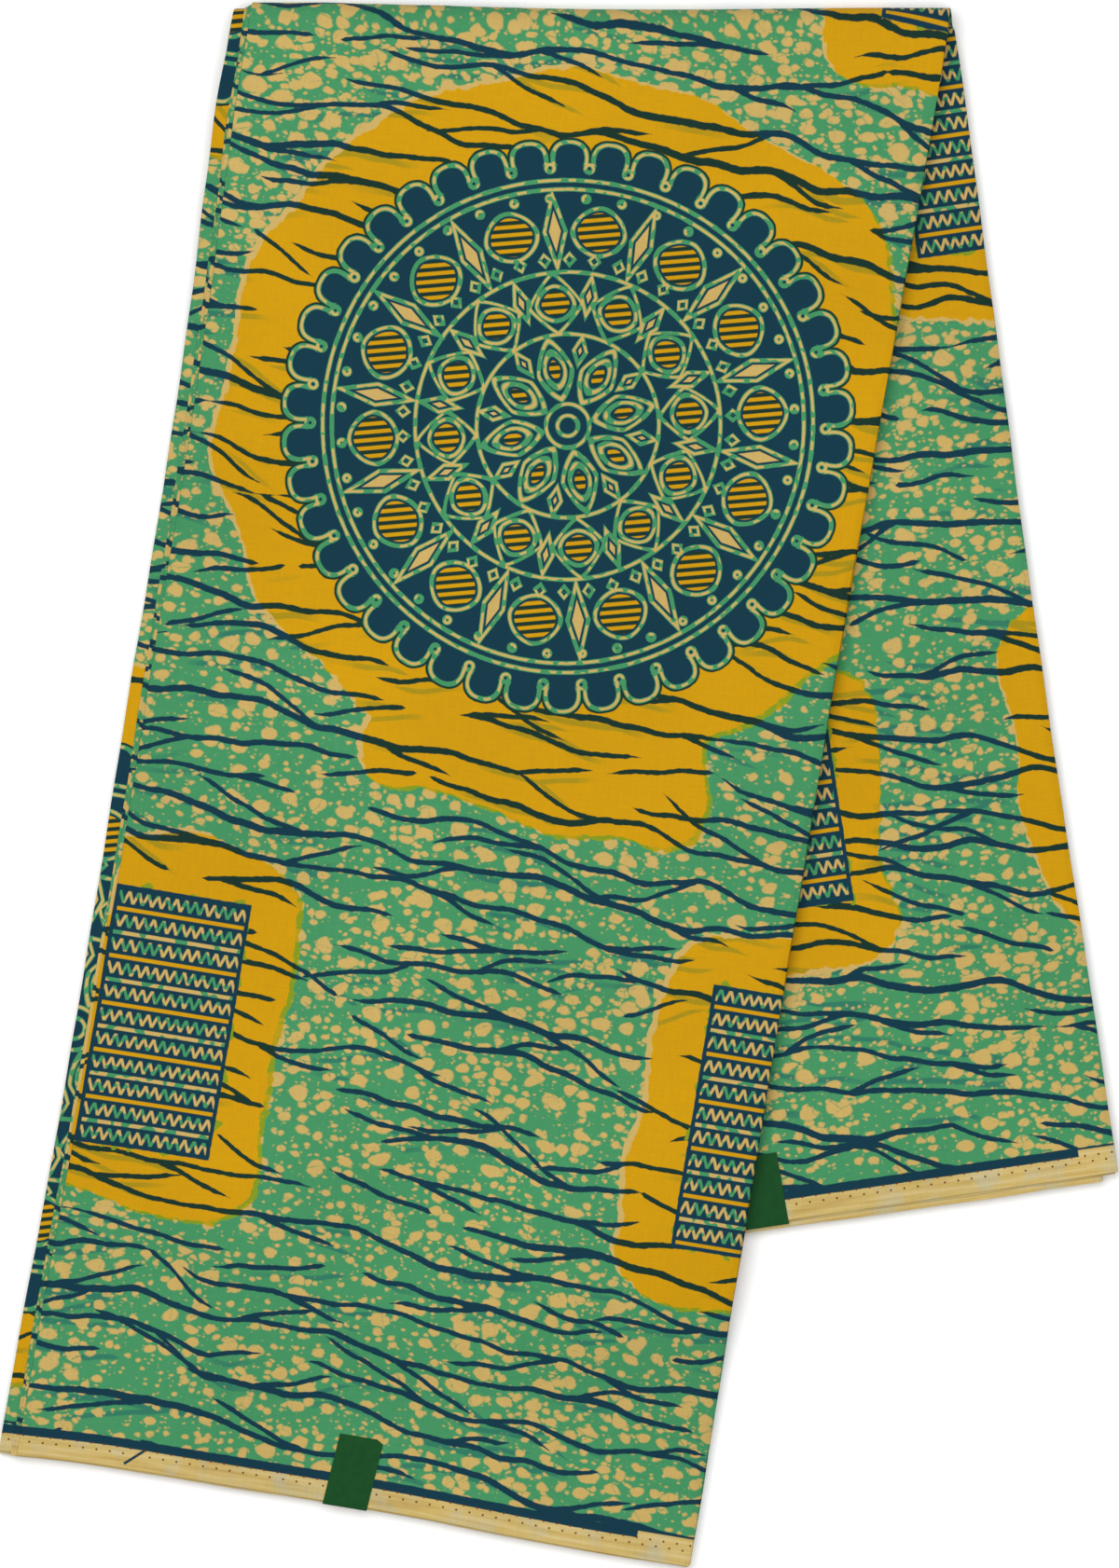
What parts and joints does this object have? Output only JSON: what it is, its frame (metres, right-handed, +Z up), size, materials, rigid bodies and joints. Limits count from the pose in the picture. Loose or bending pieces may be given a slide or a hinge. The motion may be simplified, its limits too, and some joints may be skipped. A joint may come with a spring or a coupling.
{
  "type": "folded wax print fabric",
  "caption": "Length of wax print cotton folded flat into a layered bundle and folded over at a slant as a narrow V, with selvedges and paper labels at its two ends.",
  "frame": {"origin": "middle of the footprint, on the surface that the bundle lies on", "axes": "+X along the fold, +Y from the selvedges to the fold, +Z up off the surface"},
  "size_m": [0.4856, 0.6816, 0.0194],
  "materials": {
    "printed_cotton": "plain-woven cotton, wax printed in green, cream, yellow and dark teal, soft low sheen",
    "label": "dark green paper, satin"
  },
  "bodies": {
    "root": {"front_face_layer": "printed_cotton", "hidden_layers": "printed_cotton", "back_face_layer": "printed_cotton", "front_label": "label", "back_label": "label"}
  },
  "joints": []
}
